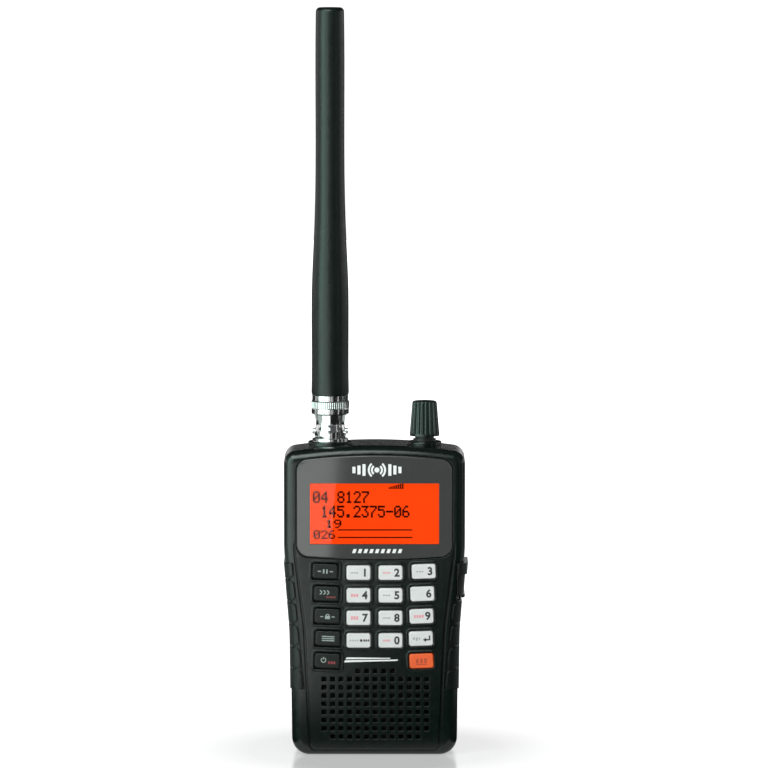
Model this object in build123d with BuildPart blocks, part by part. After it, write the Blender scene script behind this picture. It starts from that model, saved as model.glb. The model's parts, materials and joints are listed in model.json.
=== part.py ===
from build123d import *
import os
from math import cos, radians, sin, sqrt

# Handheld scanner radio. Millimetres, +Z up, the front faces -Y.
# The origin is the centre of the flat base.

# ---- case ----
CASE_HEIGHT = 114.7
BASE_HALF = 30.4          # half widths at the base, the waist and the display
WAIST_HALF = 31.0
WAIST_Z = 46.0
TOP_HALF = 33.4
SHOULDER_Z = 76.0
WAIST_ROUND = 90.0
SHOULDER_ROUND = 60.0
TOP_ARCH = 215.0          # radius of the arched top
BASE_CORNER = 6.5
TOP_CORNER = 4.6
CORE_FRONT = -15.6        # front of the case beside the key panel
PANEL_FRONT = -16.0
RIM_FRONT = -16.3         # front of the key rims and of the display bezel
KEY_FRONT = -16.7
BACK_Y = 16.5
SPLIT_Y = 9.0             # where the rear shell meets the front shell
WALL = 2.0
FRONT_EDGE = 3.6          # rounding of the front and rear edges
BACK_EDGE = 4.5
PANEL_EDGE = 0.35
BEZEL_EDGE = 0.6
BOSS_EDGE = 0.6
RIM_EDGE = 0.2
KEY_EDGE = 0.45
WALL_BACK = CORE_FRONT + WALL
TOP_INSIDE = CASE_HEIGHT - WALL

# ---- key panel and display ----
PANEL_BASE_HALF = 23.4
PANEL_WAIST_HALF = 25.5
PANEL_WAIST_Z = 48.0
PANEL_TOP_HALF = 29.0
PANEL_TOP_Z = 76.0
PANEL_FOOT_Z = 2.4
MOAT = 0.8                # groove round the key panel
MOAT_FLOOR = -14.9
DISPLAY_HALF = 28.6
DISPLAY_FOOT_Z = 72.9
DISPLAY_TOP_Z = 111.4
DISPLAY_BOW = 1.2         # the lower edge bows down by this much
DISPLAY_CORNER = 4.5
DISPLAY_GAP = 0.35
WINDOW_SIZE = (47.5, 22.5)
WINDOW_Z = 89.75
LIP_SIZE = (48.5, 23.5)
LCD_SIZE = (50.0, 25.0)
LCD_FRAME_SIZE = (52.4, 27.4)

# ---- keys ----
INNER_KEY_X = 5.9
OUTER_KEY_X = (18.1, 17.6, 17.3, 17.1, 17.3)
INNER_TOP_Z = 68.0
INNER_PITCH = 8.37
OUTER_TOP_Z = 68.5
OUTER_PITCH = 8.3
KEY_TILT = 2.0            # the outer columns lean by this angle
PALE_KEY = (8.8, 5.4)
DARK_KEY = (9.2, 5.5)
PALE_GAP = 0.35
DARK_GAP = 0.6
RIM = 0.75
KEY_CORNER = 0.9
FLANGE_FRONT = -13.5
FLANGE_BACK = -12.6
STEM_BACK = -11.0

# ---- speaker and its grille ----
SPEAKER_X = 0.3
SPEAKER_Z = 18.6
SPEAKER_RADIUS = 14.0
GRILLE_PITCH_X = 3.15
GRILLE_PITCH_Z = 3.05
GRILLE_HOLE = 1.5
GRILLE_MOUTH = 1.9        # each hole flares to this at the panel's front
GRILLE_FLARE = 0.4
GRILLE_TOP_Z = 31.45
GRILLE_COLUMNS = (5, 13, 13, 13, 13, 13, 13, 13, 11)

# ---- grips and jack cover ----
RELIEF = 1.0              # depth of the pockets in the case sides
GRIP_TOP_Z = 71.4
GRIP_FOOT_Z = 24.7
GRIP_PITCH = 8.3
GRIP_BACK_Y = 8.6
GRIP_TOP_X = 29.9         # inner edge of the grip on the front bevel
GRIP_FOOT_X = 25.8
RIB_TILT = 20.0
RIB_GROOVE = 1.0
RIB_MARGIN = 0.4          # plain skin between the ribs and the grip's inner edge
RIB_CORNER = 1.7
RIB_PROUD = 0.45
SKIN_PROUD = -0.35
COVER_TOP_Z = 71.4
COVER_FOOT_Z = 58.1
COVER_INNER_X = 30.4
COVER_FRONT_PROUD = 0.8
COVER_TAB_PROUD = 1.5
COVER_BACK_Y = 5.0
COVER_HINGE = (32.6, 58.9)
COVER_BEAD = 0.8

# ---- side sockets ----
SOCKET_Z = 64.8
HEADPHONE_Y = -4.9
HEADPHONE_BORE = 1.8
USB_Y = 0.55

# ---- antenna and its jack ----
ANTENNA_X = -16.4
BOSS_TOP = 115.3
JACK_BOSS_RADIUS = 8.2
JACK_RADIUS = 4.8
JACK_BORE = 4.15
JACK_FOOT = 106.0
CONTACT_RADIUS = 1.1
JACK_TOP = 125.4
SHEATH_FOOT = 132.2
SHEATH_TOP = 275.5
FERRULE_RADIUS = 4.6
FERRULE_TOP = 142.0
CORE_RADIUS = 1.5
CORE_TOP = 268.0
PIN_RADIUS = 0.67
PIN_TOP = 128.0
STUD_Z = 118.9
STUD_RADIUS = 1.0
STUD_REACH = 6.6
NUT_INNER = 5.0
NUT_FOOT = 116.35
NUT_TOP = 130.2
SLOT_ANGLE = 80.0
SLOT_DROP = 1.5
SLOT_REACH = 6.2
SLOT_RADIUS = 1.2
SLOT_STEPS = 14
KNURL_COUNT = 56
KNURL_RADIUS = 0.27

# ---- control knob ----
KNOB_X = 18.5
KNOB_FOOT = 117.2
KNOB_TOP = 130.1
KNOB_FLUTES = 20
KNOB_FOOT_RADIUS = 5.5
KNOB_TOP_RADIUS = 4.6
FLUTE_RADIUS = 0.68
KNOB_BOSS_RADIUS = 6.3
BUSHING_RADIUS = 3.5
ENCODER_TOP = 109.9
SHAFT_RADIUS = 2.95
SHAFT_FIT = 0.08
SHAFT_TOP = 128.0
SHAFT_FLAT_Y = -1.5
SOCKET_FOOT = 119.4       # the knob's shaft socket starts here

# ---- boards and batteries ----
KEY_BOARD_Y = (-8.6, -7.6)
MAT_Y = (-9.2, -8.6)
DOME_HEIGHT = 0.9
MAIN_BOARD_Y = (-2.6, -1.4)
MAIN_BOARD_TOP = 102.0
CELL_RADIUS = 7.25
CELL_LENGTH = 50.5
CELL_X = 7.6
CELL_Y = 7.4
CELL_FOOT_Z = 8.6
BAY_HALF = 15.2
BAY_FOOT_Z = 5.0
BAY_TOP_Z = 61.0
BAY_FLOOR_Y = -0.1
BAY_WALL = 1.2
DOOR_HALF = 16.0
DOOR_FOOT_Z = 8.0
DOOR_TOP_Z = 61.4
DOOR_INNER_Y = 14.95
TONGUE_REACH = 1.0
TONGUE_BACK_Y = 15.7
DOOR_PLAY = 0.15

# ---- fasteners ----
CASE_SCREWS = ((-26.9, 106.2), (26.9, 106.2), (-23.5, 9.0), (23.5, 9.0))
BOARD_SCREWS = ((-27.0, 72.5), (27.0, 72.5), (-26.4, 34.0), (26.4, 34.0))
CLIP_INSERTS_Z = 88.0
CLIP_SPACING = 22.0
INSERT_BORE = 1.25

ON_FOOT = (Align.CENTER, Align.CENTER, Align.MIN)
FROM_AXIS = (Align.MIN, Align.CENTER, Align.MIN)


def facing(y):
    """Sketch plane at depth y that faces the user; its height runs along Z."""
    return Plane.XZ.offset(-y)


def upright(x):
    """Vertical axis through x, in the middle of the case's depth."""
    return Axis((x, 0, 0), (0, 0, 1))


def arch_drop(x):
    """How far the arched top lies below its middle at x."""
    return TOP_ARCH - sqrt(TOP_ARCH**2 - x**2)


def case_outline(y, grow=0.0):
    """Outline of the case seen from the front."""
    arch_end = CASE_HEIGHT - arch_drop(TOP_HALF)
    arch_middle = CASE_HEIGHT - arch_drop(TOP_HALF / 2)
    with BuildSketch(facing(y)) as outline:
        with BuildLine():
            Polyline(
                (0, 0),
                (BASE_HALF, 0),
                (WAIST_HALF, WAIST_Z),
                (TOP_HALF, SHOULDER_Z),
                (TOP_HALF, arch_end),
            )
            ThreePointArc((TOP_HALF, arch_end), (TOP_HALF / 2, arch_middle), (0, CASE_HEIGHT))
            mirror(about=Plane.YZ)
        make_face()
        corners = (
            (0, BASE_CORNER),
            (WAIST_Z, WAIST_ROUND),
            (SHOULDER_Z, SHOULDER_ROUND),
            (arch_end, TOP_CORNER),
        )
        for height, radius in corners:
            fillet(outline.vertices().filter_by_position(Axis.Y, height - 0.01, height + 0.01), radius)
        if grow:
            offset(amount=grow)
    return outline.sketch


def case_core(grow=0.0):
    """The whole case as one rounded block, grown or shrunk evenly."""
    with BuildPart() as core:
        extrude(case_outline(BACK_Y + grow, grow), amount=BACK_Y - CORE_FRONT + 2 * grow)
        fillet(core.faces().sort_by(Axis.Y)[0].edges(), FRONT_EDGE + grow)
        fillet(core.faces().sort_by(Axis.Y)[-1].edges(), BACK_EDGE + grow)
    return core.part


def panel_outline(y, grow=0.0):
    """Outline of the raised key panel."""
    with BuildSketch(facing(y)) as outline:
        with BuildLine():
            Polyline(
                (0, PANEL_FOOT_Z),
                (PANEL_BASE_HALF, PANEL_FOOT_Z),
                (PANEL_WAIST_HALF, PANEL_WAIST_Z),
                (PANEL_TOP_HALF, PANEL_TOP_Z - 1),
                (PANEL_TOP_HALF, PANEL_TOP_Z + 2),
                (0, PANEL_TOP_Z + 2),
            )
            mirror(about=Plane.YZ)
        make_face()
        for height, radius in ((PANEL_FOOT_Z, 2.0), (PANEL_WAIST_Z, 60.0), (PANEL_TOP_Z - 1, 30.0)):
            fillet(outline.vertices().filter_by_position(Axis.Y, height - 0.01, height + 0.01), radius)
        if grow:
            offset(amount=grow)
    return outline.sketch


def display_outline(y, grow=0.0):
    """Outline of the display bezel: arched top, lower edge bowed down."""
    top_end = DISPLAY_TOP_Z - arch_drop(DISPLAY_HALF)
    foot_end = DISPLAY_FOOT_Z + DISPLAY_BOW
    with BuildSketch(facing(y)) as outline:
        with BuildLine():
            ThreePointArc((-DISPLAY_HALF, top_end), (0, DISPLAY_TOP_Z), (DISPLAY_HALF, top_end))
            Line((DISPLAY_HALF, top_end), (DISPLAY_HALF, foot_end))
            ThreePointArc((DISPLAY_HALF, foot_end), (0, DISPLAY_FOOT_Z), (-DISPLAY_HALF, foot_end))
            Line((-DISPLAY_HALF, foot_end), (-DISPLAY_HALF, top_end))
        make_face()
        fillet(outline.vertices(), DISPLAY_CORNER)
        if grow:
            offset(amount=grow)
    return outline.sketch


def window(y, size):
    """Rectangle centred on the display window."""
    with BuildSketch(facing(y)) as rectangle:
        with Locations((0, WINDOW_Z)):
            Rectangle(*size)
    return rectangle.sketch


def block(x, y, z):
    """Box between two limits on each axis."""
    with BuildPart() as box:
        with Locations(((x[0] + x[1]) / 2, (y[0] + y[1]) / 2, (z[0] + z[1]) / 2)):
            Box(x[1] - x[0], y[1] - y[0], z[1] - z[0])
    return box.part


def posts(places, radius, y_from, y_to):
    """Round posts along Y at the given (x, z) places."""
    with BuildPart() as post:
        with BuildSketch(facing(y_to)):
            with Locations(*places):
                Circle(radius)
        extrude(amount=y_to - y_from)
    return post.part


def boss(x, radius):
    """Round boss on the case's top, with a softened upper edge."""
    with BuildPart() as pedestal:
        with Locations((x, 0, TOP_INSIDE - 2)):
            Cylinder(radius, BOSS_TOP - TOP_INSIDE + 2, align=ON_FOOT)
        fillet(pedestal.edges().group_by(Axis.Z)[-1], BOSS_EDGE)
    return pedestal.part


def key_rim(place):
    """Low raised rim round a key's opening."""
    with BuildPart() as rim:
        add(key_prism(place, place[4] + RIM, KEY_CORNER + 1, RIM_FRONT, PANEL_FRONT + 0.5))
        fillet(rim.faces().sort_by(Axis.Y)[0].edges(), RIM_EDGE)
    return rim.part


def profile(axis_x, *points):
    """Closed half section beside a vertical axis; points are (radius, height)."""
    with BuildSketch(Plane.XZ) as section:
        with BuildLine():
            Polyline([(axis_x + r, z) for r, z in points], close=True)
        make_face()
    return section.sketch


def key_plane(x, z, tilt):
    """Plane through a key's centre line, leaning by tilt degrees, that faces the user."""
    lean = radians(tilt)
    return Plane(origin=(x, 0, z), x_dir=(cos(lean), 0, sin(lean)), z_dir=(0, -1, 0))


def key_layout():
    """Every key as name: (x, z, tilt, size, gap)."""
    keys = {}
    dark_names = ("hold", "scan", "lockout", "menu", "power")
    right_names = ("3", "6", "9", "enter", "func")
    for row, (dark, right) in enumerate(zip(dark_names, right_names)):
        z = OUTER_TOP_Z - row * OUTER_PITCH
        x = OUTER_KEY_X[row]
        keys[dark] = (-x, z, -KEY_TILT, DARK_KEY, DARK_GAP)
        keys[right] = (x, z, KEY_TILT, PALE_KEY, PALE_GAP)
    for row, (left, middle) in enumerate((("1", "2"), ("4", "5"), ("7", "8"), ("dot", "0"))):
        z = INNER_TOP_Z - row * INNER_PITCH
        keys[left] = (-INNER_KEY_X, z, 0.0, PALE_KEY, PALE_GAP)
        keys[middle] = (INNER_KEY_X, z, 0.0, PALE_KEY, PALE_GAP)
    return keys


def key_prism(place, grow, corner, y_from, y_to):
    """Rounded prism of a key's outline, grown evenly, between two depths."""
    x, z, tilt, size, _ = place
    with BuildPart() as prism:
        with BuildSketch(key_plane(x, z, tilt).offset(-y_to)):
            RectangleRounded(size[0] + 2 * grow, size[1] + 2 * grow, corner)
        extrude(amount=y_to - y_from)
    return prism.part


def side_region(side, z_from, z_to, y_back, inner_foot, inner_top):
    """Space on one side of the case, outside a slanted inner edge on the front bevel."""
    with BuildPart() as region:
        with BuildSketch(facing(y_back)):
            with BuildLine():
                Polyline(
                    (side * inner_foot, z_from),
                    (side * 40, z_from),
                    (side * 40, z_to),
                    (side * inner_top, z_to),
                    close=True,
                )
            make_face()
        extrude(amount=y_back + 20)
    return region.part


def grip_edge(z):
    """Inner edge of the grips on the front bevel at height z."""
    return GRIP_FOOT_X + (GRIP_TOP_X - GRIP_FOOT_X) * (z - GRIP_FOOT_Z) / (GRIP_TOP_Z - GRIP_FOOT_Z)


def rib_spaces(side, z_top):
    """Slanted prisms, one for each rib of a grip, below z_top."""
    count = int((z_top - GRIP_FOOT_Z) / GRIP_PITCH + 0.6)
    slope = sin(radians(RIB_TILT))
    with BuildPart() as spaces:
        for rib in range(count):
            foot = GRIP_FOOT_Z + rib * GRIP_PITCH + RIB_GROOVE / 2
            top = foot + GRIP_PITCH - RIB_GROOVE
            inner = grip_edge(foot) + RIB_MARGIN
            outer = inner + 10
            with BuildSketch(facing(GRIP_BACK_Y)) as rib_outline:
                with BuildLine():
                    Polyline(
                        (side * inner, foot - 3 * slope),
                        (side * outer, foot),
                        (side * outer, top),
                        (side * (inner + 0.8), top - 3 * slope),
                        close=True,
                    )
                make_face()
                inner_ends = rib_outline.vertices().sort_by(Axis.X)[:2]
                if side < 0:
                    inner_ends = rib_outline.vertices().sort_by(Axis.X)[-2:]
                fillet(inner_ends, RIB_CORNER)
            extrude(amount=GRIP_BACK_Y + 20)
    return spaces.part


def make_grip(side, z_top):
    """Moulded grip: a thin skin in the case's pocket with raised leaf-shaped ribs."""
    region = side_region(side, GRIP_FOOT_Z, z_top, GRIP_BACK_Y, grip_edge(GRIP_FOOT_Z), grip_edge(z_top))
    with BuildPart() as grip:
        add(case_core(RIB_PROUD))
        add(rib_spaces(side, z_top), mode=Mode.INTERSECT)
        add(case_core(SKIN_PROUD))
        add(region, mode=Mode.INTERSECT)
        add(case_core(-RELIEF), mode=Mode.SUBTRACT)
    return grip.part


def finish_piece(piece, name):
    """Label a finished piece and write it."""
    piece.label = name
    export_step(piece, f"parts/{name}.step")


os.makedirs("parts", exist_ok=True)
KEYS = key_layout()
LEFT_REGION = side_region(-1, GRIP_FOOT_Z, GRIP_TOP_Z, GRIP_BACK_Y, GRIP_FOOT_X, GRIP_TOP_X)
RIGHT_TOP = COVER_FOOT_Z - 0.6
RIGHT_REGION = side_region(1, GRIP_FOOT_Z, RIGHT_TOP, GRIP_BACK_Y, GRIP_FOOT_X, grip_edge(RIGHT_TOP))
COVER_POCKET = side_region(
    1, COVER_FOOT_Z - 0.3, COVER_TOP_Z + 0.5, COVER_BACK_Y + 0.3, COVER_INNER_X - 0.2, COVER_INNER_X - 0.2
)

# ---- front case ----
with BuildPart() as shell_cut:
    add(LEFT_REGION)
    add(RIGHT_REGION)
    add(COVER_POCKET)
    add(case_core(-RELIEF), mode=Mode.SUBTRACT)

with BuildPart() as key_panel:
    extrude(panel_outline(WALL_BACK), amount=WALL_BACK - PANEL_FRONT)
    fillet(key_panel.faces().sort_by(Axis.Y)[0].edges(), PANEL_EDGE)

with BuildPart() as front_hollow:
    add(case_core(-WALL))
    split(bisect_by=facing(SPLIT_Y + 1), keep=Keep.TOP)

with BuildPart() as rear_hollow:
    add(case_core(-WALL))
    split(bisect_by=facing(SPLIT_Y - 1), keep=Keep.BOTTOM)

with BuildPart() as grille_pin:
    with BuildSketch(facing(WALL_BACK + 1)):
        Rectangle(GRILLE_HOLE, GRILLE_HOLE)
    extrude(amount=5)
    with BuildSketch(facing(PANEL_FRONT + GRILLE_FLARE)):
        Rectangle(GRILLE_HOLE, GRILLE_HOLE)
    with BuildSketch(facing(PANEL_FRONT)):
        Rectangle(GRILLE_MOUTH, GRILLE_MOUTH)
    loft()

with BuildPart() as front_case:
    add(case_core())
    split(bisect_by=facing(SPLIT_Y), keep=Keep.TOP)
    with BuildSketch(facing(MOAT_FLOOR)):
        add(panel_outline(MOAT_FLOOR, MOAT))
        add(panel_outline(MOAT_FLOOR), mode=Mode.SUBTRACT)
    extrude(amount=5, mode=Mode.SUBTRACT)
    add(key_panel.part)
    extrude(display_outline(MOAT_FLOOR, DISPLAY_GAP), amount=5, mode=Mode.SUBTRACT)
    for place in KEYS.values():
        add(key_rim(place))
    add(front_hollow.part, mode=Mode.SUBTRACT)
    for place in KEYS.values():
        add(key_prism(place, place[4], KEY_CORNER, RIM_FRONT - 1, WALL_BACK + 1), mode=Mode.SUBTRACT)
    extrude(window(WALL_BACK + 1, LIP_SIZE), amount=5, mode=Mode.SUBTRACT)
    for row, columns in enumerate(GRILLE_COLUMNS):
        with Locations((SPEAKER_X, 0, GRILLE_TOP_Z - row * GRILLE_PITCH_Z)):
            with GridLocations(GRILLE_PITCH_X, 1, columns, 1):
                add(grille_pin.part, mode=Mode.SUBTRACT)
    add(shell_cut.part, mode=Mode.SUBTRACT)
    add(boss(ANTENNA_X, JACK_BOSS_RADIUS))
    add(boss(KNOB_X, KNOB_BOSS_RADIUS))
    with Locations((ANTENNA_X, 0, CASE_HEIGHT)):
        Cylinder(JACK_RADIUS, 20, mode=Mode.SUBTRACT)
    with Locations((KNOB_X, 0, CASE_HEIGHT)):
        Cylinder(BUSHING_RADIUS, 20, mode=Mode.SUBTRACT)
    add(posts(CASE_SCREWS, 2.6, WALL_BACK - 0.5, SPLIT_Y))
    add(posts(BOARD_SCREWS, 2.0, WALL_BACK - 0.5, MAIN_BOARD_Y[0]))
    add(posts(CASE_SCREWS, 1.2, SPLIT_Y - 10, SPLIT_Y + 1), mode=Mode.SUBTRACT)
    add(posts(BOARD_SCREWS, 0.9, MAIN_BOARD_Y[0] - 6, MAIN_BOARD_Y[0] + 1), mode=Mode.SUBTRACT)
    with BuildSketch(Plane.YZ.offset(TOP_HALF - 6)):
        with Locations((HEADPHONE_Y, SOCKET_Z)):
            Circle(2.5)
        with Locations((USB_Y, SOCKET_Z)):
            Rectangle(4.1, 8.2)
    extrude(amount=10, mode=Mode.SUBTRACT)
finish_piece(front_case.part, "front_case")

# ---- rear case, with the battery bay ----
with BuildPart() as rear_case:
    add(case_core())
    split(bisect_by=facing(SPLIT_Y), keep=Keep.BOTTOM)
    add(rear_hollow.part, mode=Mode.SUBTRACT)
    half = BAY_HALF + BAY_WALL
    add(block((-half - 1.4, half + 1.4), (12.6, 15.5), (2.0, BAY_TOP_Z + 2)))
    add(block((-half, half), (BAY_FLOOR_Y - BAY_WALL, 15.0), (BAY_FOOT_Z - BAY_WALL, BAY_TOP_Z + BAY_WALL)))
    add(posts(CASE_SCREWS, 2.6, SPLIT_Y, 15.0))
    clip_places = [(-CLIP_SPACING / 2, CLIP_INSERTS_Z), (CLIP_SPACING / 2, CLIP_INSERTS_Z)]
    add(posts(clip_places, 3.2, 10.6, 15.0))
    inside = block((-BAY_HALF, BAY_HALF), (BAY_FLOOR_Y, 20), (BAY_FOOT_Z, BAY_TOP_Z))
    add(inside, mode=Mode.SUBTRACT)
    recess_half = DOOR_HALF + DOOR_PLAY
    recess_z = (2.2, DOOR_TOP_Z + DOOR_PLAY)
    recess = block((-recess_half, recess_half), (DOOR_INNER_Y - DOOR_PLAY, 20), recess_z)
    add(recess, mode=Mode.SUBTRACT)
    slot_half = recess_half + TONGUE_REACH
    slot_y = (DOOR_INNER_Y - DOOR_PLAY, TONGUE_BACK_Y + DOOR_PLAY)
    add(block((-slot_half, slot_half), slot_y, recess_z), mode=Mode.SUBTRACT)
    add(posts(CASE_SCREWS, 1.4, 0, 20), mode=Mode.SUBTRACT)
    add(posts(CASE_SCREWS, 2.4, 14.0, 20), mode=Mode.SUBTRACT)
    add(posts(clip_places, 1.9, 12.5, 20), mode=Mode.SUBTRACT)
finish_piece(rear_case.part, "rear_case")

# ---- battery door ----
with BuildPart() as battery_door:
    add(block((-DOOR_HALF, DOOR_HALF), (DOOR_INNER_Y, BACK_Y), (DOOR_FOOT_Z, DOOR_TOP_Z)))
    tongue = DOOR_HALF + TONGUE_REACH
    add(block((-tongue, tongue), (DOOR_INNER_Y, TONGUE_BACK_Y), (DOOR_FOOT_Z + 4, DOOR_TOP_Z - 4)))
    for rib in range(5):
        height = DOOR_TOP_Z - 6 - 2.2 * rib
        add(block((-7, 7), (BACK_Y - 0.5, BACK_Y + 1), (height - 0.5, height + 0.5)), mode=Mode.SUBTRACT)
finish_piece(battery_door.part, "battery_door")

# ---- display ----
with BuildPart() as display_bezel:
    extrude(display_outline(MOAT_FLOOR), amount=MOAT_FLOOR - RIM_FRONT)
    fillet(display_bezel.faces().sort_by(Axis.Y)[0].edges(), BEZEL_EDGE)
    extrude(window(MOAT_FLOOR + 1, WINDOW_SIZE), amount=5, mode=Mode.SUBTRACT)
finish_piece(display_bezel.part, "display_bezel")

with BuildPart() as display_lens:
    extrude(window(MOAT_FLOOR, WINDOW_SIZE), amount=MOAT_FLOOR - RIM_FRONT - 0.15)
finish_piece(display_lens.part, "display_lens")

LCD_FRONT = WALL_BACK + 0.1
LCD_BACK = LCD_FRONT + 1.5
LIGHT_BACK = LCD_BACK + 1.2
with BuildPart() as lcd_panel:
    extrude(window(LCD_BACK, LCD_SIZE), amount=LCD_BACK - LCD_FRONT)
finish_piece(lcd_panel.part, "lcd_panel")

with BuildPart() as backlight:
    extrude(window(LIGHT_BACK, LCD_SIZE), amount=LIGHT_BACK - LCD_BACK)
finish_piece(backlight.part, "backlight")

with BuildPart() as lcd_frame:
    extrude(window(LIGHT_BACK + 1.0, LCD_FRAME_SIZE), amount=LIGHT_BACK + 1.0 - LCD_FRONT)
    extrude(window(LIGHT_BACK, LCD_SIZE), amount=5, mode=Mode.SUBTRACT)
finish_piece(lcd_frame.part, "lcd_frame")

# ---- keys, key mat and key board ----
for name, place in KEYS.items():
    with BuildPart() as key:
        add(key_prism(place, 0, KEY_CORNER, KEY_FRONT, FLANGE_FRONT))
        fillet(key.faces().sort_by(Axis.Y)[0].edges(), KEY_EDGE)
        add(key_prism(place, 0.75 if place[3] == PALE_KEY else 1.0, 1.0, FLANGE_FRONT, FLANGE_BACK))
        add(key_prism(place, -1.5, 0.5, FLANGE_BACK, STEM_BACK))
    finish_piece(key.part, f"key_{name}")

BOARD_AREA = ((-24.0, 24.0), (31.5, 73.0))
dome_places = [(place[0], place[1]) for place in KEYS.values()]
with BuildPart() as keypad_mat:
    add(block(BOARD_AREA[0], MAT_Y, BOARD_AREA[1]))
    add(posts(dome_places, 2.0, MAT_Y[0] - DOME_HEIGHT, MAT_Y[0]))
finish_piece(keypad_mat.part, "keypad_mat")

with BuildPart() as key_board:
    add(block(BOARD_AREA[0], KEY_BOARD_Y, BOARD_AREA[1]))
finish_piece(key_board.part, "key_board")

# ---- main board and shield ----
with BuildPart() as main_board:
    add(block((-28.0, 28.0), MAIN_BOARD_Y, (5.0, MAIN_BOARD_TOP)))
    add(posts(CASE_SCREWS, 3.0, -10, 10), mode=Mode.SUBTRACT)
    add(posts(BOARD_SCREWS, 1.1, -10, 10), mode=Mode.SUBTRACT)
finish_piece(main_board.part, "main_board")

with BuildPart() as rf_shield:
    add(block((-12.0, 20.0), (MAIN_BOARD_Y[1], 2.2), (66.0, 98.0)))
    add(block((-11.6, 19.6), (MAIN_BOARD_Y[1] - 1, 1.8), (66.4, 97.6)), mode=Mode.SUBTRACT)
finish_piece(rf_shield.part, "rf_shield")

# ---- speaker ----
SPEAKER_AXIS = Plane(origin=(SPEAKER_X, WALL_BACK + 0.1, SPEAKER_Z), x_dir=(1, 0, 0), z_dir=(0, 1, 0))


def speaker_ring(name, outer, inner, start, end):
    """Ring or disc of the speaker between two distances behind the front wall."""
    with BuildPart() as ring:
        with BuildSketch(SPEAKER_AXIS.offset(start)):
            Circle(outer)
            if inner:
                Circle(inner, mode=Mode.SUBTRACT)
        extrude(amount=end - start)
    finish_piece(ring.part, name)


speaker_ring("speaker_mesh", SPEAKER_RADIUS, 0, 0.0, 0.3)
speaker_ring("speaker_frame", SPEAKER_RADIUS, 12.4, 0.3, 3.0)
speaker_ring("speaker_magnet", 8.0, 0, 3.0, 5.2)
with BuildPart() as speaker_cone:
    with BuildSketch(SPEAKER_AXIS.offset(0.8)):
        Circle(12.4)
    with BuildSketch(SPEAKER_AXIS.offset(3.0)):
        Circle(5.0)
    loft()
    with BuildSketch(SPEAKER_AXIS.offset(0.8)):
        Circle(11.8)
    with BuildSketch(SPEAKER_AXIS.offset(2.6)):
        Circle(4.4)
    loft(mode=Mode.SUBTRACT)
finish_piece(speaker_cone.part, "speaker_cone")

# ---- antenna jack on the case ----
with BuildPart() as antenna_jack:
    revolve(
        profile(
            ANTENNA_X,
            (JACK_BORE, JACK_FOOT), (JACK_RADIUS, JACK_FOOT), (JACK_RADIUS, BOSS_TOP), (6.6, BOSS_TOP),
            (6.6, BOSS_TOP + 0.9), (JACK_RADIUS, BOSS_TOP + 0.9),
            (JACK_RADIUS, JACK_TOP), (JACK_BORE, JACK_TOP),
        ),
        axis=upright(ANTENNA_X),
    )
    with BuildSketch(Plane.YZ.offset(ANTENNA_X - STUD_REACH)):
        with Locations((0, STUD_Z)):
            Circle(STUD_RADIUS)
    extrude(amount=2 * STUD_REACH)
    with Locations((ANTENNA_X, 0, STUD_Z)):
        Cylinder(JACK_BORE, 6, mode=Mode.SUBTRACT)
finish_piece(antenna_jack.part, "antenna_jack")

with BuildPart() as jack_insulator:
    revolve(
        profile(
            ANTENNA_X, (CONTACT_RADIUS, JACK_FOOT), (JACK_BORE, JACK_FOOT), (JACK_BORE, 116.8),
            (CONTACT_RADIUS, 116.8),
        ),
        axis=upright(ANTENNA_X),
    )
finish_piece(jack_insulator.part, "jack_insulator")

with BuildPart() as jack_contact:
    revolve(
        profile(
            ANTENNA_X, (0, 103.5), (CONTACT_RADIUS, 103.5), (CONTACT_RADIUS, 122.0), (0.75, 122.0),
            (0.75, 117.5), (0, 117.5),
        ),
        axis=upright(ANTENNA_X),
    )
finish_piece(jack_contact.part, "jack_contact")

with BuildPart() as jack_nut:
    with BuildSketch(Plane.XY.offset(TOP_INSIDE - 4.6)):
        with Locations((ANTENNA_X, 0)):
            RegularPolygon(6.9, 6)
            Circle(JACK_RADIUS, mode=Mode.SUBTRACT)
    extrude(amount=2.2)
finish_piece(jack_nut.part, "jack_nut")

# ---- antenna: plug, bayonet nut, sheath ----
with BuildPart() as antenna_plug:
    revolve(
        profile(
            ANTENNA_X, (3.3, 117.2), (3.95, 117.2), (3.95, 125.8), (4.75, 125.8), (4.75, 130.3),
            (6.65, 130.3), (6.65, SHEATH_FOOT), (FERRULE_RADIUS, SHEATH_FOOT),
            (FERRULE_RADIUS, FERRULE_TOP), (1.0, FERRULE_TOP), (1.0, 127.0), (3.3, 127.0),
        ),
        axis=upright(ANTENNA_X),
    )
finish_piece(antenna_plug.part, "antenna_plug")

with BuildPart() as plug_pin:
    revolve(
        profile(ANTENNA_X, (0, 118.0), (PIN_RADIUS, 118.0), (PIN_RADIUS, PIN_TOP), (0, PIN_TOP)),
        axis=upright(ANTENNA_X),
    )
finish_piece(plug_pin.part, "plug_pin")

with BuildPart() as plug_insulator:
    revolve(
        profile(ANTENNA_X, (PIN_RADIUS, 123.2), (3.3, 123.2), (3.3, 127.0), (PIN_RADIUS, 127.0)),
        axis=upright(ANTENNA_X),
    )
finish_piece(plug_insulator.part, "plug_insulator")

with BuildPart() as antenna_core:
    revolve(
        profile(
            ANTENNA_X, (0, PIN_TOP), (1.0, PIN_TOP), (1.0, FERRULE_TOP), (CORE_RADIUS, FERRULE_TOP),
            (CORE_RADIUS, CORE_TOP), (0, CORE_TOP),
        ),
        axis=upright(ANTENNA_X),
    )
finish_piece(antenna_core.part, "antenna_core")

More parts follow.
